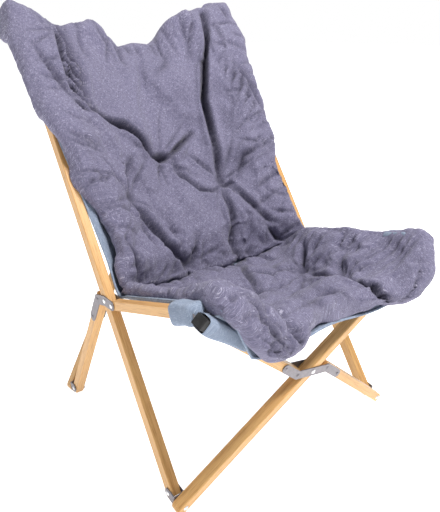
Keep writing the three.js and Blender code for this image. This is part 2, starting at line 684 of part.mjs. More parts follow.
// The padded hood over an ear: a rounded body round balls in front of the long bar and behind the
// cross bar; below the pocket's mouth it lies only in front of the long bar
function earHood({ ear, pin, sign }, clearance) {
  const { outward, capTop } = crosses.rear;
  const rise = new THREE.Vector3().crossVectors(sideways, outward);
  const wall = clearance + padWall;
  const rear = crossWidth / 2 + headHeight + seatGap + wall - hoodRound;
  const rearBalls = [capTop + wall - hoodRound, wall - pocketDepth].map((up) => ({
    centre: pin.origin.clone().addScaledVector(outward, rear).addScaledVector(rise, up),
    radius: hoodRound,
    sides: [hoodRound - pocketInward - wall, pocketOutward + wall - hoodRound],
  }));
  const frontBalls = hoodFronts.map(({ along, across, radius, sides }) => (
    { centre: pointIn(ear, along, across), radius, sides }));
  const points = [...frontBalls, ...rearBalls].flatMap(({ centre, radius, sides }) => sides.flatMap((side) => {
    const ball = new THREE.SphereGeometry(radius, roundSides, roundSides / 2);
    ball.translate(sign * (halfSpacing + side), centre.y, centre.z);
    const { position } = ball.attributes;
    return Array.from({ length: position.count }, (_, i) => new THREE.Vector3().fromBufferAttribute(position, i));
  }));
  const face = longDepth / 2 + clearance;
  const below = sideBlock([
    pointIn(ear, -2 * hoodLength, face),
    pointIn(ear, -pocketDepth, face),
    pin.origin.clone().addScaledVector(rise, -pocketDepth).addScaledVector(outward, hoodLength),
    pointIn(ear, -2 * hoodLength, -hoodLength),
  ], 2 * hoodLength, sign * halfSpacing);
  return solidOf(new ConvexGeometry(points)).subtract(below);
}

// A sleeve's bore or outside round the front end of a seat bar
function sleeveBlock(tip, offset, lengthening) {
  const geometry = new THREE.BoxGeometry(sleeveLength + 2 * lengthening,
    2 * (sleeveHalfHeight + offset), 2 * (sleeveHalfWidth + offset));
  geometry.translate(sleeveReach - sleeveLength / 2, 0, 0);
  geometry.applyMatrix4(new THREE.Matrix4().makeBasis(tip.u, tip.v, tip.w).setPosition(tip.origin));
  return solidOf(geometry);
}

const world = frame(new THREE.Vector3(), sideways, new THREE.Vector3(0, 0, 1));
const seatRun = [0, creaseShare - creaseGapShare];
const backRun = [creaseShare + creaseGapShare, 1];
const sheetBottom = () => -canvas;
const sheetTop = () => 0;
const padBottom = () => clothGap;

const rearEnds = [
  { ear: left.ear, pin: crosses.rear.pins.high_left, sign: -1 },
  { ear: right.ear, pin: crosses.rear.pins.high_right, sign: 1 },
];
const tips = [left.seatTip, right.seatTip];

// A layer that goes over the ears: cleared inside, then given a bag over each
function overEars(sheet, clearance, bagOver) {
  return geometryOf(rearEnds.reduce((whole, end) => {
    const bag = bagOver(end).subtract(earWedge(end, clearance, overrun + padWall));
    return whole.subtract(earWedge(end, clearance - clothGap / 2, 2 * clothGap)).add(bag);
  }, solidOf(sheet)));
}

function withSleeves(sheet) {
  return geometryOf(tips.reduce((whole, tip) => {
    const tube = sleeveBlock(tip, canvas, 0).subtract(sleeveBlock(tip, 0, overrun));
    return whole.subtract(sleeveBlock(tip, 0, 0)).add(tube);
  }, solidOf(sheet)));
}

function clearOfSleeves(pad) {
  return geometryOf(tips.reduce((whole, tip) => (
    whole.subtract(sleeveBlock(tip, canvas + clothGap, clothGap))), solidOf(pad)));
}

const backSheet = quilted(backRun, backRows, sheetBottom, sheetTop);
const seatSheet = quilted(seatRun, seatRows, sheetBottom, sheetTop);
const backPad = quilted(backRun, backRows, padBottom, padThickness(backRun, 1, backTuftShares));
const seatPad = quilted(seatRun, seatRows, padBottom, padThickness(seatRun, 0, seatTuftShares));
place('sling_back', overEars(backSheet, clothGap, (end) => earWedge(end, clothGap + canvas, 0)), duck, world);
place('sling_seat', withSleeves(seatSheet), duck, world);

// The hoods leave room for the sheet, which is thickened and lengthened by the gap
const backRoom = quilted(backRun, backRows, () => -canvas - clothGap, padBottom, (across, along) => {
  const point = clothPoint(across, along);
  if (along < 1) return point;
  const onward = point.clone().sub(clothPoint(across, 1 - normalStep));
  return point.add(onward.setLength(2 * clothGap));
});
const padClearance = 2 * clothGap + canvas;
const hooded = overEars(backPad, padClearance, (end) => earHood(end, padClearance));
place('pad_back', lessened(hooded, backRoom), quilting, world);
place('pad_seat', clearOfSleeves(seatPad), quilting, world);

// The origin is the middle of the box's floor face
chair.updateMatrixWorld(true);
const box = new THREE.Box3().setFromObject(chair, true);
const boxMiddle = box.getCenter(new THREE.Vector3());
chair.position.set(-boxMiddle.x, -boxMiddle.y, -box.min.z);

export default chair;
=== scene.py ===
import math

import bmesh
import bpy
import numpy as np
from mathutils import Matrix, Vector
from mathutils.kdtree import KDTree


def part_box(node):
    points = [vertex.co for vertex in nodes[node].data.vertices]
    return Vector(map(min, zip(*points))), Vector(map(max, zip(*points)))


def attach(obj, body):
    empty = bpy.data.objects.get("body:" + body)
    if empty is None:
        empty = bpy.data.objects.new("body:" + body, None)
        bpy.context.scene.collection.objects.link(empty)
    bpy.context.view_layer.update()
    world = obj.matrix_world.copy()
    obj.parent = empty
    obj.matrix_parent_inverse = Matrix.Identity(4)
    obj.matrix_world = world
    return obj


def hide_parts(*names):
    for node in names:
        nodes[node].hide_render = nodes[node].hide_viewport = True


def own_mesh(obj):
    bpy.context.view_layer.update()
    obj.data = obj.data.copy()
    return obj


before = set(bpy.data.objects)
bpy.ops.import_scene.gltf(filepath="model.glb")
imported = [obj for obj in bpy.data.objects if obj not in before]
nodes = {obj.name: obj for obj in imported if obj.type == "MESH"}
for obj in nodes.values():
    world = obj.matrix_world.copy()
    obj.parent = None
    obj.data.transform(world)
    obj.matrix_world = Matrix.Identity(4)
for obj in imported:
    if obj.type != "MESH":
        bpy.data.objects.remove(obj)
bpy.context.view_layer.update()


# Places of the frame, in metres: middles of pins, as points in the plane of a side frame
def middle(node):
    low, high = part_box(node)
    return (low + high) / 2


FOOT = middle("bracket_pin_front_low_left")
PIVOT = middle("leg_pivot_left")
SEAT_PIVOT = middle("seat_pivot_left")
SEAT_TIP = middle("bracket_pin_front_high_left")
EAR = middle("bracket_pin_rear_high_left")
HALF_SPACING = -FOOT.x


# Camera, fitted to the photo together with the frame's linkage
CAMERA_FROM_FOOT = Vector((-0.7680, -0.7815, 0.8652))
YAW, PITCH, ROLL = math.radians(37.115), math.radians(17.957), math.radians(-0.23)
PHOTO_WIDTH, PHOTO_HEIGHT = 440, 512
FOCAL_PIXELS = 584.88
PRINCIPAL = (215.57, 212.23)
SENSOR = 36


def make_camera():
    data = bpy.data.cameras.new("camera")
    data.sensor_width = SENSOR
    data.lens = FOCAL_PIXELS / PHOTO_HEIGHT * SENSOR
    data.shift_x = (PHOTO_WIDTH / 2 - PRINCIPAL[0]) / PHOTO_HEIGHT
    data.shift_y = (PRINCIPAL[1] - PHOTO_HEIGHT / 2) / PHOTO_HEIGHT
    camera = bpy.data.objects.new("camera", data)
    bpy.context.scene.collection.objects.link(camera)
    level = math.cos(PITCH)
    forward = Vector((math.sin(YAW) * level, math.cos(YAW) * level, -math.sin(PITCH)))
    right = Vector((math.cos(YAW), -math.sin(YAW), 0))
    up = right.cross(forward)
    turned_right = right * math.cos(ROLL) + up * math.sin(ROLL)
    turned_up = up * math.cos(ROLL) - right * math.sin(ROLL)
    turn = Matrix((turned_right, turned_up, -forward)).transposed()
    place = Vector((0, FOOT.y, FOOT.z)) + CAMERA_FROM_FOOT
    camera.matrix_world = Matrix.Translation(place) @ turn.to_4x4()
    bpy.context.scene.camera = camera


# Materials
class Paint:
    """A material's nodes, made one after another."""

    def __init__(self, name, roughness=0.6, metallic=0.0, specular=0.5):
        self.made = bpy.data.materials.new(name)
        self.made.use_nodes = True
        self.tree = self.made.node_tree
        self.shader = self.tree.nodes["Principled BSDF"]
        self.shader.inputs["Roughness"].default_value = roughness
        self.shader.inputs["Metallic"].default_value = metallic
        self.shader.inputs["Specular IOR Level"].default_value = specular

    def node(self, kind, inputs=None, **settings):
        made = self.tree.nodes.new(kind)
        for key, value in settings.items():
            setattr(made, key, value)
        for key, value in (inputs or {}).items():
            self.put(made.inputs[key], value)
        return made

    def put(self, socket, value):
        if isinstance(value, bpy.types.NodeSocket):
            self.tree.links.new(value, socket)
        else:
            socket.default_value = value

    def place(self, source, scale=(1, 1, 1), turn=(0, 0, 0), shift=(0, 0, 0)):
        where = self.node("ShaderNodeTexCoord").outputs[source]
        moves = {"Vector": where, "Rotation": turn, "Location": shift}
        turned = self.node("ShaderNodeMapping", moves)
        scaled = self.node("ShaderNodeMapping", {"Vector": turned.outputs[0], "Scale": scale})
        return scaled.outputs[0]

    def noise(self, vector, detail=4.0, rough=0.55):
        inputs = {"Vector": vector, "Scale": 1.0, "Detail": detail, "Roughness": rough}
        return self.node("ShaderNodeTexNoise", inputs).outputs[0]

    def combine(self, operation, first, second):
        made = self.node("ShaderNodeMath", operation=operation)
        self.put(made.inputs[0], first)
        self.put(made.inputs[1], second)
        return made.outputs[0]

    def ramp(self, value, *stops):
        """Colours that follow one another as a value rises: each stop is a value and a colour."""
        made = self.node("ShaderNodeValToRGB", {"Fac": value})
        points = made.color_ramp.elements
        while len(points) < len(stops):
            points.new(1)
        for point, (position, colour) in zip(points, stops):
            point.position = position
            point.color = (*colour, 1)
        return made.outputs[0]

    def mix(self, share, first, second, blend="MIX"):
        made = self.node("ShaderNodeMix", data_type="RGBA", blend_type=blend)
        self.put(made.inputs[0], share)
        for socket, value in zip((made.inputs[6], made.inputs[7]), (first, second)):
            self.put(socket, value if isinstance(value, bpy.types.NodeSocket) else (*value, 1))
        return made.outputs[2]

    def spread(self, value, low, high):
        """A value from 0 to 1, moved to between low and high."""
        inputs = {"Value": value, "To Min": low, "To Max": high}
        return self.node("ShaderNodeMapRange", inputs).outputs[0]

    def bump(self, height, distance, strength=1.0):
        inputs = {"Height": height, "Distance": distance, "Strength": strength}
        self.put(self.shader.inputs["Normal"], self.node("ShaderNodeBump", inputs).outputs[0])

    def colour(self, value):
        self.put(self.shader.inputs["Base Color"], value)

    def roughness(self, value):
        self.put(self.shader.inputs["Roughness"], value)


# How often the wood's grain, pores and broad bands come per metre, along it and across it
GRAIN = (3, 95, 95)
PORES = (26, 900, 900)
BANDS = (2.2, 26, 26)
GRAIN_TINTS = (
    (0.30, (0.42, 0.215, 0.070)),
    (0.46, (0.60, 0.345, 0.130)),
    (0.70, (0.70, 0.44, 0.185)),
)
BAND_TINT, BAND_SHARES = (0.52, 0.275, 0.095), (0.0, 0.55)
PORE_TINTS = ((0.36, (0.55, 0.42, 0.30)), (0.47, (1, 1, 1)))
PORE_SHARE = 0.55
WOOD_ROUGHNESS = (0.34, 0.52)
WOOD_RELIEF = 0.00035
# What moves the grain from one bar to the next
BAR_SHIFT = (0.37, 0.21, 0.53)


def wood_paint(name, run, seed):
    """Light laminated wood with its grain along run."""
    paint = Paint(name, specular=0.4)
    turn = run.rotation_difference(Vector((1, 0, 0))).to_euler()
    shift = tuple(seed * part for part in BAR_SHIFT)
    grain = paint.noise(paint.place("Object", GRAIN, turn, shift), detail=5, rough=0.6)
    pores = paint.noise(paint.place("Object", PORES, turn, shift), detail=2, rough=0.5)
    broad = paint.noise(paint.place("Object", BANDS, turn, shift), detail=2, rough=0.5)
    tint = paint.ramp(grain, *GRAIN_TINTS)
    tint = paint.mix(paint.spread(broad, *BAND_SHARES), tint, BAND_TINT)
    streaks = paint.ramp(pores, *PORE_TINTS)
    paint.colour(paint.mix(PORE_SHARE, tint, streaks, "MULTIPLY"))
    paint.roughness(paint.spread(grain, *WOOD_ROUGHNESS))
    paint.bump(paint.combine("ADD", pores, grain), WOOD_RELIEF, strength=0.5)
    return paint.made


# How often a yarn's shade changes per metre, across it and along it, and the threads of the relief
YARN_ACROSS, YARN_ALONG = 1300, 110
WEFT_SHIFT = (3, 7, 0)
CLOUDS = (9, 9, 1)
CLOUD_SHARES = (0.0, 0.35)
# Values of the yarns' noise where they are dark, middling and light, and where slubs begin and end
YARN_STEPS = (0.36, 0.50, 0.62)
SLUB_STOPS = ((0.60, (0, 0, 0)), (0.72, (1, 1, 1)))
THREADS = 210.0
WEAVE_RELIEF = 0.0006
# Painted shade in the creases: its colour as a share of the dark yarn's, and the most that it covers
PAINTED_CREASE_SHADE = 0.35
PAINTED_CREASE_SHARE = 0.75


def cloth_paint(name, dark, light, slub, fuzz):
    """A plain weave of two shades of yarn with slubs, laid along the cloth's own threads.

    It has painted shade where folds are pressed in, by the piece's own values of how far in they
    are.
    """
    paint = Paint(name, roughness=0.92, specular=0.12)
    lengthwise = paint.place("UV", (YARN_ACROSS, YARN_ALONG, 1))
    warp = paint.noise(lengthwise, detail=2, rough=0.6)
    crosswise = paint.place("UV", (YARN_ALONG, YARN_ACROSS, 1), shift=WEFT_SHIFT)
    weft = paint.noise(crosswise, detail=2, rough=0.6)
    both = paint.combine("MULTIPLY", paint.combine("ADD", warp, weft), 0.5)
    cloud = paint.noise(paint.place("UV", CLOUDS), detail=3, rough=0.5)
    between = tuple((a + b) / 2 for a, b in zip(dark, light))
    tint = paint.ramp(both, *zip(YARN_STEPS, (dark, between, light)))
    slubs = paint.ramp(paint.combine("MAXIMUM", warp, weft), *SLUB_STOPS)
    tint = paint.mix(slubs, tint, slub)
    tint = paint.mix(paint.spread(cloud, *CLOUD_SHARES), tint, dark)
    # Painted shade in the creases, darkest where the folds are pressed in furthest
    pressed = paint.node("ShaderNodeAttribute", attribute_name="pressed").outputs["Fac"]
    painted_crease_tint = tuple(PAINTED_CREASE_SHADE * part for part in dark)
    paint.colour(paint.mix(paint.combine("MULTIPLY", pressed, PAINTED_CREASE_SHARE), tint, painted_crease_tint))
    threads = []
    for way in ("X", "Y"):
        inputs = {"Vector": paint.place("UV"), "Scale": THREADS}
        threads.append(paint.node("ShaderNodeTexWave", inputs, bands_direction=way).outputs[1])
    weave = paint.combine("ADD", paint.combine("MULTIPLY", *threads), both)
    paint.bump(weave, WEAVE_RELIEF, strength=0.7)
    paint.shader.inputs["Sheen Weight"].default_value = fuzz
    paint.shader.inputs["Sheen Roughness"].default_value = 0.5
    return paint.made


BRUSHING = (60, 60, 700)
BRUSHED_TINT, BRUSHED_SHARES = (0.29, 0.275, 0.29), (0.0, 0.4)
SPOTS = (130, 130, 130)
SPOT_TINTS = ((0.3, (0.13, 0.120, 0.130)), (0.7, (0.22, 0.205, 0.225)))
STEEL_ROUGHNESS = (0.36, 0.56)
STEEL_RELIEF = 0.0002


def steel_paint():
    paint = Paint("steel", metallic=0.75, specular=0.5)
    brushed = paint.noise(paint.place("Object", BRUSHING), detail=3, rough=0.6)
    spots = paint.noise(paint.place("Object", SPOTS), detail=4, rough=0.6)
    tint = paint.ramp(spots, *SPOT_TINTS)
    paint.colour(paint.mix(paint.spread(brushed, *BRUSHED_SHARES), tint, BRUSHED_TINT))
    paint.roughness(paint.spread(spots, *STEEL_ROUGHNESS))
    paint.bump(brushed, STEEL_RELIEF, strength=0.4)
    return paint.made


RIVET_WEAR = (260, 260, 260)
RIVET_TINTS = ((0.3, (0.50, 0.50, 0.52)), (0.7, (0.78, 0.78, 0.80)))
RIVET_ROUGHNESS = (0.20, 0.42)
RIVET_RELIEF = 0.0001


def rivet_paint():
    paint = Paint("rivet", metallic=0.95)
    wear = paint.noise(paint.place("Object", RIVET_WEAR), detail=4, rough=0.6)
    paint.colour(paint.ramp(wear, *RIVET_TINTS))
    paint.roughness(paint.spread(wear, *RIVET_ROUGHNESS))
    paint.bump(wear, RIVET_RELIEF, strength=0.4)
    return paint.made


CAP_GRAIN = (900, 900, 900)
SCUFFS = (70, 70, 70)
SCUFF_TINTS = ((0.45, (0.012, 0.012, 0.013)), (0.75, (0.035, 0.035, 0.038)))
CAP_ROUGHNESS = (0.45, 0.75)
CAP_RELIEF = 0.0002


def cap_paint():
    paint = Paint("cap", specular=0.35)
    grain = paint.noise(paint.place("Object", CAP_GRAIN), detail=2, rough=0.5)
    scuffs = paint.noise(paint.place("Object", SCUFFS), detail=5, rough=0.7)
    paint.colour(paint.ramp(scuffs, *SCUFF_TINTS))
    paint.roughness(paint.spread(scuffs, *CAP_ROUGHNESS))
    paint.bump(grain, CAP_RELIEF, strength=0.5)
    return paint.made


WHITE = (1, 1, 1, 1)
FLOOR_GLOW = 0.85
FLOOR_TINTS = ((0.3, (0.93, 0.93, 0.93)), (0.7, (0.95, 0.95, 0.95)))
FLOOR_CLOUDS = (3, 3, 3)


def floor_paint():
    paint = Paint("floor", roughness=0.9, specular=0.0)
    paint.shader.inputs["Emission Color"].default_value = WHITE
    paint.shader.inputs["Emission Strength"].default_value = FLOOR_GLOW
    clouds = paint.noise(paint.place("Object", FLOOR_CLOUDS))
    paint.colour(paint.ramp(clouds, *FLOOR_TINTS))
    return paint.made


# Floor, lights and the pale room
FLOOR_SIZE = 40
FLOOR_BELOW = 0.0005
ROOM_LIGHT = 0.37
# Each light's place, the place it looks at, its size, power and colour
LIGHTS = {
    "key": ((0.5, -1.5, 3.3), (0, 0, 0.4), 0.9, 148, (1, 0.985, 0.96)),
    "fill": ((-3.0, -1.0, 1.6), (0, 0, 0.4), 2.4, 14, (0.96, 0.98, 1)),
    "back": ((0.2, 2.6, 2.8), (0, 0, 0.5), 2.0, 40, (1, 1, 1)),
}


def make_floor():
    bpy.ops.mesh.primitive_plane_add(size=FLOOR_SIZE, location=(0, 0, -FLOOR_BELOW))
    floor = bpy.context.object
    floor.name = "floor"
    floor.data.materials.append(floor_paint())


def make_light(name, place, target, size, power, colour):
    data = bpy.data.lights.new(name, "AREA")
    data.size = size
    data.energy = power
    data.color = colour
    light = bpy.data.objects.new(name, data)
    bpy.context.scene.collection.objects.link(light)
    light.location = place
    light.rotation_euler = (Vector(target) - Vector(place)).to_track_quat("-Z", "Y").to_euler()


def make_room():
    """A white backdrop that lights the chair less than it shows."""
    world = bpy.data.worlds.new("world")
    bpy.context.scene.world = world
    world.use_nodes = True
    tree = world.node_tree
    room = tree.nodes["Background"]
    room.inputs["Color"].default_value = WHITE
    room.inputs["Strength"].default_value = ROOM_LIGHT
    seen = tree.nodes.new("ShaderNodeBackground")
    seen.inputs["Color"].default_value = WHITE
    seen.inputs["Strength"].default_value = 1.0
    rays = tree.nodes.new("ShaderNodeLightPath")
    either = tree.nodes.new("ShaderNodeMixShader")
    tree.links.new(rays.outputs["Is Camera Ray"], either.inputs[0])
    tree.links.new(room.outputs[0], either.inputs[1])
    tree.links.new(seen.outputs[0], either.inputs[2])
    tree.links.new(either.outputs[0], tree.nodes["World Output"].inputs["Surface"])


make_floor()
make_camera()
for name, settings in LIGHTS.items():
    make_light(name, *settings)
make_room()
bpy.context.scene.view_settings.view_transform = "Standard"

# Soft pieces: the sling's upper face is one hanging surface, as in the solids. It has a point for
# each place across it, from -1 to 1, and along it, from 0 at the front hem to 1 at the ears
SAG = 0.133
CANVAS = 0.0022
CLOTH_INSET = 0.017
HALF_CLOTH = HALF_SPACING - CLOTH_INSET
# Runs over the bars from pivot to tip, their ways on and up, and the cloth's height over the bars
EAR_REACH = 0.021
SEAT_RUN = math.hypot(SEAT_TIP.y - SEAT_PIVOT.y, SEAT_TIP.z - SEAT_PIVOT.z)
BACK_RUN = math.hypot(EAR.y - PIVOT.y, EAR.z - PIVOT.z) + EAR_REACH
SEAT_TURN = Vector((0, SEAT_TIP.y - SEAT_PIVOT.y, SEAT_TIP.z - SEAT_PIVOT.z)).normalized()
LONG_TURN = Vector((0, EAR.y - PIVOT.y, EAR.z - PIVOT.z)).normalized()
SEAT_LIFT = Vector((0, SEAT_TURN.z, -SEAT_TURN.y))
LONG_LIFT = Vector((0, -LONG_TURN.z, LONG_TURN.y))
SEAT_LINE = 0.0126
BACK_LINE = 0.0151


def over_seat(reach, above=SEAT_LINE):
    """A point of the left side plane over the seat bar: its y and z."""
    point = SEAT_PIVOT + SEAT_TURN * reach + SEAT_LIFT * above
    return point.y, point.z


def over_back(reach, above=BACK_LINE):
    """A point of the left side plane over the long bar: its y and z."""
    point = PIVOT + LONG_TURN * reach + LONG_LIFT * above
    return point.y, point.z


# Side point's y and z, the middle's way back and down as shares of SAG, the power of the curve
# across, the share of the ears' step in it, and the half width as a share of HALF_CLOTH
STATIONS = np.array([
    [*over_seat(SEAT_RUN + 0.025, -0.096), 0.09, -0.25, 4.0, 0, 0.78],
    [*over_seat(SEAT_RUN + 0.050, 0), 0.165, -1.0, 2.2, 0, 0.985],
    [*over_seat(SEAT_RUN + 0.025, 0.017), 0.06, -1.12, 2.2, 0, 1],
    [*over_seat(SEAT_RUN * 0.89), -0.06, -1.045, 2.5, 0, 1],
    [*over_seat(SEAT_RUN * 0.66), -0.016, -1.01, 2.8, 0, 1],
    [*over_seat(SEAT_RUN * 0.33), 0.04, -0.89, 2.8, 0, 1],
    [*over_seat(SEAT_RUN * 0.085), 0.235, -0.68, 2.6, 0, 1],
    [*over_back(0), 0.505, -0.335, 2.6, 0, 1],
    [*over_back(BACK_RUN * 0.118), 0.466, -0.376, 2.7, 0, 1],
    [*over_back(BACK_RUN * 0.34), 0.52, -0.36, 2.8, 0, 1.03],
    [*over_back(BACK_RUN * 0.59), 0.436, -0.376, 3.0, 0, 1.08],
    [*over_back(BACK_RUN * 0.8), 0.35, -0.43, 3.2, 0, 1.12],
    [*over_back(BACK_RUN), 0.075, -0.69, 4.0, 1, 1.11],
])
CREASE_STATION = 7
CREASE = CREASE_STATION / (len(STATIONS) - 1)
# Where an ear's step begins and ends across, and how much sooner the cloth comes up to its side's
# height where it is wider than the bars
EAR_STEP = (0.2, 0.7)
REST_GROWTH = 2.5


def spline(points, along):
    """Centripetal Catmull-Rom through points, at shares of the whole run from 0 to 1."""
    points = np.vstack([2 * points[0] - points[1], points, 2 * points[-1] - points[-2]])
    place = np.clip(np.asarray(along, float), 0, 1) * (len(points) - 3)
    first = np.minimum(place.astype(int), len(points) - 4)
    t = (place - first)[:, None]
    a, b, c, d = (points[first + i] for i in range(4))
    pairs = ((a, b), (b, c), (c, d))
    ab, bc, cd = (np.linalg.norm(q - p, axis=1, keepdims=True) ** 0.5 for p, q in pairs)
    leave = ((b - a) / ab - (c - a) / (ab + bc) + (c - b) / bc) * bc
    reach = ((c - b) / bc - (d - b) / (bc + cd) + (d - c) / cd) * bc
    squared = 3 * c - 3 * b - 2 * leave - reach
    cubed = 2 * b - 2 * c + leave + reach
    return b + leave * t + squared * t**2 + cubed * t**3


def smooth(x, low, high):
    """0 below low, 1 above high and a soft step between."""
    t = np.clip((x - low) / (high - low), 0, 1)
    return t * t * (3 - 2 * t)


def cloth_points(across, along):
    """Points of the surface for arrays of places, in metres."""
    across, along = np.broadcast_arrays(np.asarray(across, float), np.asarray(along, float))
    over, on = across.ravel(), along.ravel()
    side = spline(STATIONS[:, :2], on)
    sag = spline(STATIONS[:, 2:4] * SAG, on)
    steps = np.linspace(0, 1, len(STATIONS))
    power, ear, wide = (np.interp(on, steps, STATIONS[:, i]) for i in (4, 5, 6))
    reach = np.minimum(np.abs(over) * (1 + REST_GROWTH * np.maximum(wide - 1, 0)), 1)
    hang = 1 - ((1 - ear) * reach**power + ear * smooth(reach, *EAR_STEP))
    points = np.column_stack([over * HALF_CLOTH * wide, side + sag * hang[:, None]])
    return points.reshape(across.shape + (3,))


def cloth_normals(across, along, step=0.01):
    west, east = np.maximum(across - step, -1), np.minimum(across + step, 1)
    near, far = np.maximum(along - step, 0), np.minimum(along + step, 1)
    sidewise = cloth_points(east, along) - cloth_points(west, along)
    onward = cloth_points(across, far) - cloth_points(across, near)
    normal = np.cross(sidewise, onward)
    return normal / np.linalg.norm(normal, axis=-1, keepdims=True)


# Meshes
def new_object(name, points, faces):
    mesh = bpy.data.meshes.new(name)
    mesh.from_pydata(np.asarray(points).tolist(), [], faces)
    mesh.update()
    made = bpy.data.objects.new(name, mesh)
    bpy.context.scene.collection.objects.link(made)
    return made


def apply_modifier(piece, kind, **settings):
    modifier = piece.modifiers.new(kind, kind)
    for key, value in settings.items():
        setattr(modifier, key, value)
    graph = bpy.context.evaluated_depsgraph_get()
    graph.update()
    made = bpy.data.meshes.new_from_object(piece.evaluated_get(graph))
    piece.modifiers.clear()
    piece.data = made


def points_of(piece):
    points = np.empty(len(piece.data.vertices) * 3)
    piece.data.vertices.foreach_get("co", points)
    return points.reshape(-1, 3)


def normals_of(piece):
    normals = np.empty(len(piece.data.vertices) * 3)
    piece.data.vertices.foreach_get("normal", normals)
    return normals.reshape(-1, 3)


def move_points(piece, points):
    piece.data.vertices.foreach_set("co", points.ravel())
    piece.data.update()


# The cloth's places, to find a point's own place across and along it
MAP_ACROSS, MAP_ALONG = 121, 301
map_across, map_along = np.meshgrid(np.linspace(-1, 1, MAP_ACROSS), np.linspace(0, 1, MAP_ALONG))
map_points = cloth_points(map_across, map_along).reshape(-1, 3)
map_grid = map_points.reshape(MAP_ALONG, MAP_ACROSS, 3)
map_lengths = np.linalg.norm(np.diff(map_grid[:, 0], axis=0), axis=1)
map_reach = np.concatenate([[0], np.cumsum(map_lengths)])
map_normals = cloth_normals(map_across, map_along).reshape(-1, 3)
map_onward = np.gradient(map_grid, axis=0).reshape(-1, 3)
map_onward /= np.linalg.norm(map_onward, axis=1, keepdims=True)
map_sideways = np.cross(map_onward, map_normals)


def tree_of(points):
    tree = KDTree(len(points))
    for index, point in enumerate(points):
        tree.insert(point, index)
    tree.balance()
    return tree


def nearest_of(tree, points):
    return np.array([tree.find(point)[1] for point in points])


map_tree = tree_of(map_points)


def own_places(points):
    """Places in metres across and along the cloth under points, and the way it faces there."""
    found = nearest_of(map_tree, points)
    offsets = points - map_points[found]
    across = map_points[found, 0] + np.einsum("ij,ij->i", offsets, map_sideways[found])
    along = map_reach[found // MAP_ACROSS] + np.einsum("ij,ij->i", offsets, map_onward[found])
    return np.column_stack([across, along]), map_normals[found]


def lay_weave(piece):
    """Gives a piece texture places in metres along the threads of the cloth under it."""
    places, _ = own_places(points_of(piece))
    corners = np.empty(len(piece.data.loops), int)
    piece.data.loops.foreach_get("vertex_index", corners)
    layer = piece.data.uv_layers.new(name="weave")
    layer.data.foreach_set("uv", places[corners].ravel())


PAD_TOP = 0.045


def surface_point(place):
    """A point on the pad's upper face, for a place across and along the cloth."""
    across, along = (np.array([value], float) for value in place)
    return (cloth_points(across, along) + cloth_normals(across, along) * PAD_TOP)[0]


# Folds that the photo shows, as places across and along the cloth, with their depth and width in
# metres, and the places of the tufts
BACK_FOLDS = [
    ([(-0.72, 0.985), (-0.765, 0.934), (-0.795, 0.869), (-0.805, 0.841)], 0.016, 0.008),
    ([(-0.805, 0.841), (-0.48, 0.826), (-0.33, 0.809), (-0.22, 0.787)], 0.024, 0.009),
    ([(-0.22, 0.787), (-0.12, 0.783), (-0.025, 0.785)], 0.020, 0.008),
    ([(-0.025, 0.785), (0.11, 0.797), (0.285, 0.810)], 0.016, 0.007),
    ([(0.69, 0.989), (0.695, 0.945), (0.635, 0.904), (0.52, 0.854), (0.505, 0.811), (0.43, 0.741)],
     0.024, 0.009),
    ([(0.395, 0.730), (0.525, 0.730)], 0.012, 0.008),
    ([(-0.01, 0.781), (0.015, 0.756), (0.145, 0.731), (0.27, 0.725), (0.42, 0.730)],
     0.009, 0.007),
    ([(-0.98, 0.935), (-0.90, 0.885), (-0.825, 0.842)], 0.007, 0.007),
    ([(-0.705, 0.735), (-0.45, 0.680), (-0.22, 0.627)], 0.015, 0.008),
    ([(-0.655, 0.7375), (-0.60, 0.765), (-0.50, 0.785)], 0.010, 0.008),
    ([(0.39, 0.722), (0.405, 0.695), (0.33, 0.652), (0.35, 0.614)], 0.012, 0.008),
    ([(-0.215, 0.604), (-0.14, 0.640), (-0.08, 0.675)], 0.009, 0.007),
    ([(-0.92, 0.685), (-0.91, 0.647), (-0.88, 0.615)], 0.012, 0.008),
    ([(0.60, 0.735), (0.74, 0.760), (0.90, 0.765)], 0.008, 0.008),
    ([(0.52, 0.730), (0.66, 0.690), (0.80, 0.655)], 0.009, 0.008),
    ([(0.72, 0.660), (0.80, 0.620), (0.86, 0.600)], 0.010, 0.007),
    ([(0.78, 0.900), (0.86, 0.850), (0.93, 0.800)], 0.006, 0.009),
    ([(-0.28, 0.985), (-0.27, 0.960), (-0.22, 0.935)], 0.006, 0.008),
    ([(0.30, 0.960), (0.20, 0.930), (0.05, 0.905)], 0.004, 0.012),
]
SEAT_FOLDS = [
    ([(0.315, 0.569), (0.10, 0.445), (0.025, 0.392)], 0.011, 0.008),
    ([(0.855, 0.4475), (0.74, 0.420), (0.62, 0.394)], 0.012, 0.009),
    ([(0.62, 0.394), (0.35, 0.430), (0.10, 0.470)], 0.007, 0.009),
    ([(0.62, 0.394), (0.58, 0.330), (0.57, 0.264)], 0.008, 0.009),
    ([(0.62, 0.394), (0.30, 0.340), (0.05, 0.300)], 0.005, 0.010),
    ([(0.57, 0.264), (0.70, 0.300), (0.86, 0.330)], 0.007, 0.009),
    ([(0.57, 0.264), (0.50, 0.170), (0.49, 0.100), (0.53, 0.075), (0.62, 0.045)], 0.016, 0.008),
    ([(-0.95, 0.085), (-0.87, 0.052), (-0.70, 0.040)], 0.010, 0.008),
    ([(-0.60, 0.100), (-0.55, 0.060), (-0.52, 0.020)], 0.007, 0.009),
    ([(-0.30, 0.160), (-0.20, 0.100), (-0.10, 0.040)], 0.006, 0.011),
    ([(0.10, 0.180), (0.16, 0.110), (0.20, 0.040)], 0.006, 0.011),
    ([(-0.62, 0.560), (-0.55, 0.480), (-0.50, 0.400)], 0.006, 0.010),
]
BACK_TUFTS = [(-0.655, 0.7375), (-0.12, 0.786), (0.43, 0.737), (-0.22, 0.628), (0.35, 0.612)]
SEAT_TUFTS = [(0.62, 0.394), (0.57, 0.264), (-0.87, 0.052), (-0.50, 0.330), (0.02, 0.390)]
TUFT_DEPTH, TUFT_WIDTH = 0.014, 0.016
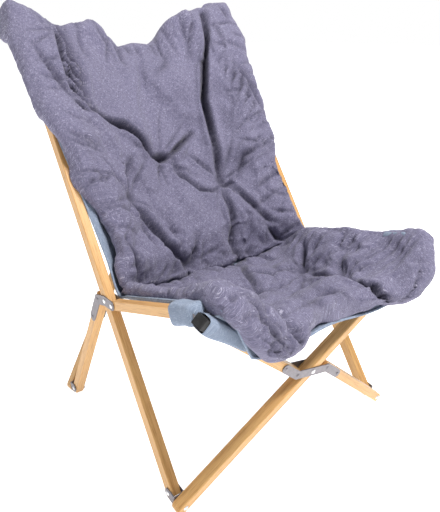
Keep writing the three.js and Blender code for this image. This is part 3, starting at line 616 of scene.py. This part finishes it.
# A fold's groove and the ridge beside it, as shares of the depth and width in the lists
FOLD_DEPTH, FOLD_WIDTH = 2.0, 0.62
RIDGE_SHARE, RIDGE_AWAY = 0.45, 2.0
FOLD_STEPS = 110
FOLD_REACH = 6
FOLD_ENDS = (0.06, 0.94)
# The depth in metres at which a crease's painted shade is at its darkest
PRESSED_DEPTH = 0.012
# How far a face looks the cloth's way where folds begin to show, and where they show in full
UPPER_SIDE = (0.1, 0.5)


def fold_samples(places, depth):
    """Places in metres along a fold, with its depth tapering to both ends."""
    places = np.array(places, float)
    steps = np.linspace(0, 1, FOLD_STEPS)
    knots = np.linspace(0, 1, len(places))
    across = np.interp(steps, knots, places[:, 0])
    along = np.interp(steps, knots, places[:, 1])
    line = np.column_stack([
        cloth_points(across, along)[:, 0],
        np.interp(along, np.linspace(0, 1, MAP_ALONG), map_reach),
    ])
    return line, depth * np.sin(np.pi * np.clip(steps, *FOLD_ENDS)) ** 0.5


def fold_in(piece, folds, tufts):
    """Presses folds and tufts into a padded piece and lets the padding swell beside them."""
    points = points_of(piece)
    normals = normals_of(piece)
    places, under = own_places(points)
    upper = smooth(np.einsum("ij,ij->i", normals, under), *UPPER_SIDE)
    push = np.zeros(len(points))
    swell = np.zeros(len(points))
    for fold, depth, width in folds:
        line, depths = fold_samples(fold, depth)
        reach = FOLD_REACH * width
        inside = (places > line.min(axis=0) - reach) & (places < line.max(axis=0) + reach)
        near = np.flatnonzero(inside.all(axis=1))
        if not len(near):
            continue
        distances = np.linalg.norm(places[near][:, None] - line[None], axis=2)
        nearest = distances.argmin(axis=1)
        off = distances[np.arange(len(near)), nearest]
        pressed = FOLD_DEPTH * depths[nearest] * np.exp(-off / (FOLD_WIDTH * width))
        push[near] = np.maximum(push[near], pressed)
        raised = depths[nearest] * np.exp(-((off / width - RIDGE_AWAY) ** 2))
        swell[near] = np.maximum(swell[near], raised)
    for tuft in tufts:
        line, _ = fold_samples([tuft, tuft], 0)
        off = np.linalg.norm(places - line[0], axis=1)
        push = np.maximum(push, TUFT_DEPTH * np.exp(-((off / TUFT_WIDTH) ** 2)))
    move_points(piece, points + under * (upper * (RIDGE_SHARE * swell - push))[:, None])
    # How far each point is pressed in, which the cloth's material turns into painted shade in the
    # creases
    pressed = piece.data.attributes.new("pressed", "FLOAT", "POINT")
    pressed.data.foreach_set("value", np.clip(upper * push / PRESSED_DEPTH, 0, 1))


# Ranges that the small wrinkles are drawn from, with lengths in metres and turns in radians
TUFT_WRINKLES = 7
TUFT_TURNS, TUFT_LENGTHS, TUFT_BENDS = (-0.3, 0.3), (0.045, 0.110), (-0.012, 0.012)
TUFT_DEPTHS, TUFT_WIDTHS = (0.0035, 0.0065), (0.0040, 0.0060)
EDGE_SPACING = 0.026
EDGE_STEPS, EDGE_LENGTHS, EDGE_LEANS = (0.1, 0.9), (0.03, 0.09), (-0.5, 0.5)
EDGE_DEPTHS, EDGE_WIDTHS = (0.0025, 0.0055), (0.0040, 0.0065)


def tuft_wrinkles(tufts, pick):
    """Short creases that run out from each tuft."""
    made = []
    for across, along in tufts:
        turn = pick.uniform(0, math.tau)
        for index in range(TUFT_WRINKLES):
            way = turn + math.tau * index / TUFT_WRINKLES + pick.uniform(*TUFT_TURNS)
            long = pick.uniform(*TUFT_LENGTHS)
            over = math.cos(way) * long / HALF_CLOTH
            on = math.sin(way) * long / map_reach[-1]
            bend = pick.uniform(*TUFT_BENDS)
            midway = (across + over / 2 + bend, along + on / 2)
            line = [(across, along), midway, (across + over, along + on)]
            made.append((line, pick.uniform(*TUFT_DEPTHS), pick.uniform(*TUFT_WIDTHS)))
    return made


def edge_wrinkles(edges, pick):
    """Puckers along the seams: an edge is its two ends and the way that leads in from it."""
    made = []
    for (from_across, from_along), (to_across, to_along), inward in edges:
        wide, high = to_across - from_across, to_along - from_along
        span = math.hypot(wide * HALF_CLOTH, high * map_reach[-1])
        for index in range(int(span / EDGE_SPACING)):
            t = (index + pick.uniform(*EDGE_STEPS)) * EDGE_SPACING / span
            across = from_across + wide * t
            along = from_along + high * t
            long = pick.uniform(*EDGE_LENGTHS)
            lean = pick.uniform(*EDGE_LEANS)
            over = (inward[0] - lean * inward[1]) * long / HALF_CLOTH
            on = (inward[1] + lean * inward[0]) * long / map_reach[-1]
            line = [(across, along), (across + over, along + on)]
            made.append((line, pick.uniform(*EDGE_DEPTHS), pick.uniform(*EDGE_WIDTHS)))
    return made


def wrinkles(tufts, edges, seed):
    pick = np.random.default_rng(seed)
    return tuft_wrinkles(tufts, pick) + edge_wrinkles(edges, pick)


# Lengths of the waves that make the padding uneven, with their heights
LUMPS = ((0.16, 0.0035), (0.09, 0.0022), (0.05, 0.0012), (0.028, 0.0006))
WAVES = 6


def lumps(points, seed):
    """Soft unevenness of the padding from a few seeded waves."""
    random = np.random.default_rng(seed)
    height = np.zeros(len(points))
    for length, size in LUMPS:
        for _ in range(WAVES):
            way = random.normal(size=3)
            way *= math.tau / length / np.linalg.norm(way)
            height += size / 2 * np.sin(points @ way + random.uniform(0, math.tau))
    return height


# Pulls on the soft pieces: a place across and along the cloth, or a point, then the way it goes and
# how far the pull reaches, in metres
EAR_PULLS = [
    ((-0.200, EAR.y - 0.02, EAR.z + 0.010), (-0.008, 0.004, -0.050), 0.058),
    ((-0.160, EAR.y - 0.02, EAR.z - 0.020), (0, 0.004, -0.022), 0.050),
    ((0.215, EAR.y - 0.02, EAR.z + 0.005), (0, 0.004, -0.010), 0.050),
]
SHEET_EAR_PULLS = [
    ((-0.200, EAR.y, EAR.z), (-0.004, 0.010, -0.064), 0.062),
    ((-0.165, EAR.y, EAR.z - 0.020), (0, 0.008, -0.020), 0.060),
    ((0.215, EAR.y, EAR.z), (0, 0.008, -0.020), 0.055),
]
WING_PULLS = [
    ((1, 0.10), (0, 0.002, -0.018), 0.13),
]
BACK_PULLS = EAR_PULLS + [
    ((-1, 0.93), (-0.024, 0.006, 0), 0.10),
    ((-1, 0.86), (-0.024, 0.010, 0), 0.08),
    ((0.265, EAR.y, EAR.z + 0.030), (0, 0, 0.014), 0.070),
    ((-1, 0.71), (0.032, 0, 0), 0.07),
    ((-0.30, 1.0), (0, 0.004, -0.008), 0.09),
    ((0.66, 1.0), (0, 0.004, -0.010), 0.08),
    ((1, 0.60), (0.026, -0.010, 0), 0.05),
    ((1, 0.84), (-0.016, 0, 0), 0.10),
    ((1, 0.76), (-0.014, 0, 0), 0.09),
    ((1, 0.68), (-0.012, 0, 0), 0.07),
]
SEAT_PULLS = WING_PULLS + [
    ((1, 0.10), (0.036, 0, -0.004), 0.13),
    ((1, 0.43), (0, 0, 0.020), 0.09),
    ((-0.10, 0.0), (-0.004, 0.002, 0.007), 0.06),
    ((-0.2, CREASE), (0, 0.007, 0.003), 0.12),
    ((0.4, CREASE), (0, 0.007, 0.003), 0.12),
    ((1, 0.20), (0.018, 0, -0.010), 0.12),
    ((-1, 0.10), (-0.016, 0, 0), 0.10),
    ((0.55, 0.02), (0, 0.002, 0.004), 0.12),
]
HEM_PULLS = [
    ((0.50, 0.0), (0, 0.002, 0.005), 0.10),
    ((-0.05, 0.0), (0, 0.002, 0.024), 0.10),
]


def pulled(points, pulls):
    """Points moved by each pull in turn, less the further they are from its centre."""
    points = points.copy()
    for place, way, radius in pulls:
        centre = surface_point(place) if len(place) == 2 else np.array(place)
        off = np.linalg.norm(points - centre, axis=1)
        points += np.array(way) * np.exp(-((off / radius) ** 2))[:, None]
    return points


def pull(piece, pulls):
    move_points(piece, pulled(points_of(piece), pulls))


# The least height of the padding over its sheet, the depth down to which points are lifted to it,
# and the part of the width where that is done
SHEET_CLEAR = 0.0016
SHEET_BELOW = 0.030
INNER_ACROSS = 0.96


def clear_sheet(piece, pulls):
    """Keeps the underside of the padding on top of the sheet that carries it."""
    base = pulled(map_points, pulls)
    points = points_of(piece)
    found = nearest_of(tree_of(base), points)
    height = np.einsum("ij,ij->i", points - base[found], map_normals[found])
    inner = np.abs(map_across.ravel()[found]) < INNER_ACROSS
    low = inner & (height < SHEET_CLEAR) & (height > -SHEET_BELOW)
    points[low] += map_normals[found[low]] * (SHEET_CLEAR - height[low])[:, None]
    move_points(piece, points)


# Where the corners that cover the bars' ends begin, out from the middle and up
HOOD_INSIDE = 0.236
HOOD_BOTTOM = EAR.z - 0.045


def fill_hoods(piece):
    """Fills the padding round the bars' ends, which the remesh can't keep as thin walls."""
    mesh = bmesh.new()
    mesh.from_mesh(piece.data)
    for side in (-1, 1):
        places = [v.co.copy() for v in mesh.verts]
        corner = [p for p in places if p.x * side > HOOD_INSIDE and p.z > HOOD_BOTTOM]
        added = [mesh.verts.new(point) for point in corner]
        bmesh.ops.convex_hull(mesh, input=added)
    mesh.to_mesh(piece.data)
    mesh.free()


# The simulation of the pads' cover: its steps, how far it may move a point and how far round a tuft
# it is held
SIM_FRAMES = 15
SIM_CAP = 0.010
SIM_HOLD = 0.022
SIM_SETTINGS = {
    "use_pressure": True,
    "uniform_pressure_force": 4,
    "quality": 4,
    "tension_stiffness": 12,
    "compression_stiffness": 12,
    "bending_stiffness": 0.3,
    "shrink_min": -0.05,
}
NO_MOVE = 1e-9


def swell_cloth(piece, tufts):
    """Lets the cover of the padding swell and wrinkle under a little pressure, held at its tufts."""
    before = points_of(piece)
    held = piece.vertex_groups.new(name="held")
    places = [surface_point(place) for place in tufts]
    off = np.min([np.linalg.norm(before - place, axis=1) for place in places], axis=0)
    for index in np.nonzero(off < SIM_HOLD)[0]:
        held.add([int(index)], 1.0, "REPLACE")
    cloth = piece.modifiers.new("cloth", "CLOTH")
    cloth.settings.vertex_group_mass = "held"
    cloth.settings.effector_weights.gravity = 0
    for key, value in SIM_SETTINGS.items():
        setattr(cloth.settings, key, value)
    cloth.point_cache.frame_end = SIM_FRAMES
    scene = bpy.context.scene
    for step in range(1, SIM_FRAMES + 1):
        scene.frame_set(step)
    graph = bpy.context.evaluated_depsgraph_get()
    swollen = bpy.data.meshes.new_from_object(piece.evaluated_get(graph))
    piece.modifiers.clear()
    piece.vertex_groups.clear()
    scene.frame_set(1)
    after = np.empty(len(swollen.vertices) * 3)
    swollen.vertices.foreach_get("co", after)
    moved = after.reshape(-1, 3) - before
    size = np.linalg.norm(moved, axis=1, keepdims=True)
    move_points(piece, before + moved * np.minimum(1, SIM_CAP / np.maximum(size, NO_MOVE)))


REMESH_SIZE = 0.0050
SMOOTHING = {"factor": 0.5, "iterations": 16}


def padded_piece(name, node, folds, tufts, pulls, sheet_pulls, seed):
    """The solid's form, made round and soft, with the photo's folds in it."""
    piece = bpy.data.objects.new(name, nodes[node].data.copy())
    piece.data.materials.clear()
    bpy.context.scene.collection.objects.link(piece)
    fill_hoods(piece)
    apply_modifier(piece, "REMESH", mode="VOXEL", voxel_size=REMESH_SIZE)
    apply_modifier(piece, "SMOOTH", **SMOOTHING)
    pull(piece, pulls)
    swell_cloth(piece, tufts)
    points = points_of(piece)
    move_points(piece, points + normals_of(piece) * lumps(points, seed)[:, None])
    fold_in(piece, folds, tufts)
    clear_sheet(piece, sheet_pulls)
    lay_weave(piece)
    return piece


def shell(name, across, along, bottom, top):
    """A closed sheet between two offsets of the cloth's surface."""
    grid = cloth_points(across, along)
    normals = cloth_normals(across, along)
    rows, columns = across.shape
    sides = [(grid + normals * offset).reshape(-1, 3) for offset in (bottom, top)]
    count = rows * columns
    index = np.arange(count).reshape(rows, columns)
    a, b = index[:-1, :-1].ravel(), index[:-1, 1:].ravel()
    c, d = index[1:, 1:].ravel(), index[1:, :-1].ravel()
    faces = [np.stack([a, d, c, b], 1), np.stack([a, b, c, d], 1) + count]
    rim = np.concatenate([index[0, :-1], index[:-1, -1], index[-1, :0:-1], index[:0:-1, 0]])
    after = np.roll(rim, -1)
    faces.append(np.stack([rim, after, after + count, rim + count], 1))
    return new_object(name, np.concatenate(sides), np.concatenate(faces).tolist())


RIGHT_EDGE = 0.272
EDGE_BAND = (0.97, 1.0)
SHEET_STEPS = 81


def sheet_piece(name, run):
    """The canvas over a run along the cloth; the back's right edge is drawn out to RIGHT_EDGE."""
    across, along = np.meshgrid(np.linspace(-1, 1, SHEET_STEPS), np.linspace(*run, SHEET_STEPS))
    piece = shell(name, across, along, -CANVAS, 0)
    if run[1] == 1:
        points = points_of(piece)
        over = points[:, 0]
        share = smooth(over / HALF_CLOTH, *EDGE_BAND)
        points[:, 0] = np.maximum(over, over + (RIGHT_EDGE - over) * share)
        move_points(piece, points)
    lay_weave(piece)
    return piece


def ring_faces(rows, sides):
    """Faces between rings of points."""
    faces = []
    for row in range(rows):
        low, high = row * sides, (row + 1) * sides
        for side in range(sides):
            after = (side + 1) % sides
            faces.append([low + side, low + after, high + after, high + side])
    return faces


ASLANT = (0.31, 0.72, 0.62)


def tube(name, line, radius, sides=8):
    """A closed tube along a line of points."""
    line = np.asarray(line)
    ways = np.gradient(line, axis=0)
    ways /= np.linalg.norm(ways, axis=1, keepdims=True)
    across = np.cross(ways, ASLANT)
    across /= np.linalg.norm(across, axis=1, keepdims=True)
    third = np.cross(ways, across)
    turns = np.arange(sides)[:, None] * math.tau / sides
    ring = across[:, None] * np.cos(turns) + third[:, None] * np.sin(turns)
    points = (line[:, None] + ring * radius).reshape(-1, 3)
    faces = ring_faces(len(line) - 1, sides)
    faces.append(list(range(sides))[::-1])
    faces.append([(len(line) - 1) * sides + side for side in range(sides)])
    piece = new_object(name, points, faces)
    lay_weave(piece)
    return piece


# Both fabrics' dark yarn, light yarn and slubs
PAD_SHADES = (0.095, 0.088, 0.150), (0.235, 0.225, 0.325), (0.50, 0.48, 0.60)
CANVAS_SHADES = (0.17, 0.21, 0.29), (0.30, 0.355, 0.46), (0.45, 0.51, 0.61)
pad_paint = cloth_paint("pad", *PAD_SHADES, fuzz=0.12)
canvas_paint = cloth_paint("canvas", *CANVAS_SHADES, fuzz=0.1)


def dress(piece, body, paint):
    """Gives a piece its material and its body, with smooth shading."""
    piece.data.materials.clear()
    piece.data.materials.append(paint)
    piece.data.polygons.foreach_set("use_smooth", [True] * len(piece.data.polygons))
    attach(piece, body)


def soft(piece, body, paint):
    """A dressed piece with a mesh of its own."""
    dress(piece, body, paint)
    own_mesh(piece)


# Seams of the pads with puckers: each has two ends and the way that leads in from it
BACK_SEAMS = [
    ((-1, CREASE), (-1, 0.98), (1, 0)),
    ((1, CREASE), (1, 0.98), (-1, 0)),
    ((-0.95, 1), (0.95, 1), (0, -1)),
    ((-0.9, CREASE + 0.01), (0.9, CREASE + 0.01), (0, 1)),
]
SEAT_SEAMS = [
    ((-1, 0.02), (-1, CREASE), (1, 0)),
    ((1, 0.02), (1, CREASE), (-1, 0)),
    ((-0.95, 0), (0.95, 0), (0, 1)),
    ((-0.9, CREASE - 0.01), (0.9, CREASE - 0.01), (0, -1)),
]
BACK_CREASES = BACK_FOLDS + wrinkles(BACK_TUFTS, BACK_SEAMS, seed=21)
SEAT_CREASES = SEAT_FOLDS + wrinkles(SEAT_TUFTS, SEAT_SEAMS, seed=22)
SHEET_SEAT_PULLS = HEM_PULLS + WING_PULLS
back_pad = padded_piece("back_pad", "pad_back", BACK_CREASES, BACK_TUFTS, BACK_PULLS,
                        SHEET_EAR_PULLS, seed=3)
seat_pad = padded_piece("seat_pad", "pad_seat", SEAT_CREASES, SEAT_TUFTS,
                        SEAT_PULLS + HEM_PULLS, SHEET_SEAT_PULLS, seed=5)
for piece, body, node in (
    (back_pad, "long_left", "pad_back"),
    (seat_pad, "seat_left", "pad_seat"),
):
    soft(piece, body, pad_paint)
    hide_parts(node)

# The canvas in two parts, with a hair's gap at the crease
GAP = 0.0005
back_sheet = sheet_piece("back_sling", (CREASE + GAP, 1))
seat_sheet = sheet_piece("seat_sling", (0, CREASE - GAP))
pull(seat_sheet, SHEET_SEAT_PULLS)
pull(back_sheet, SHEET_EAR_PULLS)
for piece, body, node in (
    (back_sheet, "long_left", "sling_back"),
    (seat_sheet, "seat_left", "sling_seat"),
):
    soft(piece, body, canvas_paint)
    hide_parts(node)

SIDES = (("left", -1), ("right", 1))

# Bound edges of the sling: their radius, and the share of the back's sides that they run up
BINDING = 0.0028
BINDING_END = 0.93
BINDING_STEPS = 60
steps = np.linspace(0, 1, BINDING_STEPS)
seat_edge = [(-1, CREASE * (1 - t)) for t in steps]
seat_edge += [(2 * t - 1, 0) for t in steps[1:]]
seat_edge += [(1, CREASE * t) for t in steps[1:]]


def edge_line(places):
    across, along = np.array(places, float).T
    return cloth_points(across, along)


seat_binding = tube("seat_binding", edge_line(seat_edge), BINDING)
pull(seat_binding, SHEET_SEAT_PULLS)
soft(seat_binding, "seat_left", canvas_paint)
for side_name, across in SIDES:
    places = [(across, CREASE + (1 - CREASE) * t * BINDING_END) for t in steps]
    made = tube(f"back_binding_{side_name}", edge_line(places), BINDING)
    soft(made, "long_left", canvas_paint)

# Pockets of the sling over the ends of the bars
POCKET_RINGS, POCKET_SIDES = 14, 32
POCKET_CLOTH = 0.0016
# The power that squares a pocket's corners, and the share of its length over which it closes
POCKET_CORNER = 0.45
CLOSING = 0.16
# Its waves along the bar and round it, as shares of its size, with how fast they turn
LONG_WAVE, LONG_TURNS = 0.03, 9
ROUND_WAVE, ROUND_TURNS, ROUND_SHIFT = 0.02, 5, 6


def pocket(name, start, end, side, half_side, lift, half_lift, loose, closed):
    """A fabric pocket round a bar: rings of a rounded oblong, drawn in at the closed end."""
    turns = np.arange(POCKET_SIDES) * math.tau / POCKET_SIDES
    points = []
    for row in range(POCKET_RINGS + 1):
        t = row / POCKET_RINGS
        centre = start + (end - start) * t
        grow = 1 + loose * (t * t) + LONG_WAVE * math.sin(LONG_TURNS * t)
        grow *= closed + (1 - closed) * min(t / CLOSING, 1) ** 0.5
        for turn in turns:
            c, s = math.cos(turn), math.sin(turn)
            wave = 1 + ROUND_WAVE * math.sin(ROUND_TURNS * turn + ROUND_SHIFT * t)
            over = math.copysign(abs(c) ** POCKET_CORNER, c) * half_side * grow * wave
            up = math.copysign(abs(s) ** POCKET_CORNER, s) * half_lift * grow * wave
            points.append(list(centre + side * over + lift * up))
    piece = new_object(name, points, ring_faces(POCKET_RINGS, POCKET_SIDES))
    apply_modifier(piece, "SOLIDIFY", thickness=POCKET_CLOTH, offset=0)
    apply_modifier(piece, "SUBSURF", levels=1)
    lay_weave(piece)
    return piece


# How far a pocket runs past the bar's last pivot and back along the bar, and its half sizes
SEAT_POCKET_PAST, SEAT_POCKET_BACK, SEAT_POCKET_HALF = 0.016, 0.050, 0.0180
FRONT_POCKET_PAST, FRONT_POCKET_BACK = 0.013, 0.115
FRONT_POCKET_DEEP, FRONT_POCKET_HIGH = 0.0155, 0.0150
X = Vector((1, 0, 0))
for side_name, sign in SIDES:
    tip = Vector((sign * HALF_SPACING, SEAT_TIP.y, SEAT_TIP.z))
    past, back = tip + SEAT_TURN * SEAT_POCKET_PAST, tip - SEAT_TURN * SEAT_POCKET_BACK
    made = pocket(f"seat_pocket_{side_name}", past, back, X, SEAT_POCKET_HALF,
                  SEAT_LIFT, SEAT_POCKET_HALF, loose=0.08, closed=0.12)
    dress(made, f"seat_{side_name}", canvas_paint)
LOW, HIGH = middle("front_web_rivet_low_left"), middle("front_web_rivet_high_right")
for side_name, sign, body in (("left", -1, "front_split"), ("right", 1, "front_through")):
    low = Vector((-sign * abs(LOW.x), LOW.y, LOW.z))
    high = Vector((sign * abs(HIGH.x), HIGH.y, HIGH.z))
    run = (high - low).normalized()
    forward = X.cross(Vector((0, high.y - low.y, high.z - low.z)).normalized())
    past, back = high + run * FRONT_POCKET_PAST, high - run * FRONT_POCKET_BACK
    made = pocket(f"front_pocket_{side_name}", past, back, forward, FRONT_POCKET_DEEP,
                  run.cross(forward), FRONT_POCKET_HIGH, loose=-0.04, closed=0.90)
    dress(made, body, canvas_paint)


# Materials of the solids that show as they are
steel, rivet, black = steel_paint(), rivet_paint(), cap_paint()
for seed, (name, node) in enumerate(sorted(nodes.items())):
    if name.startswith(("pad", "sling")):
        continue
    if name.endswith("_cap"):
        paint = black
    elif "pivot" in name or "rivet" in name or "pin" in name:
        paint = rivet
    elif "plate" in name or name.startswith("bracket"):
        paint = steel
    else:
        points = points_of(node)
        ways = np.linalg.svd(points - points.mean(axis=0), full_matrices=False)[2]
        paint = wood_paint(f"wood_{name}", Vector(ways[0]), seed)
    node.data.materials.clear()
    node.data.materials.append(paint)
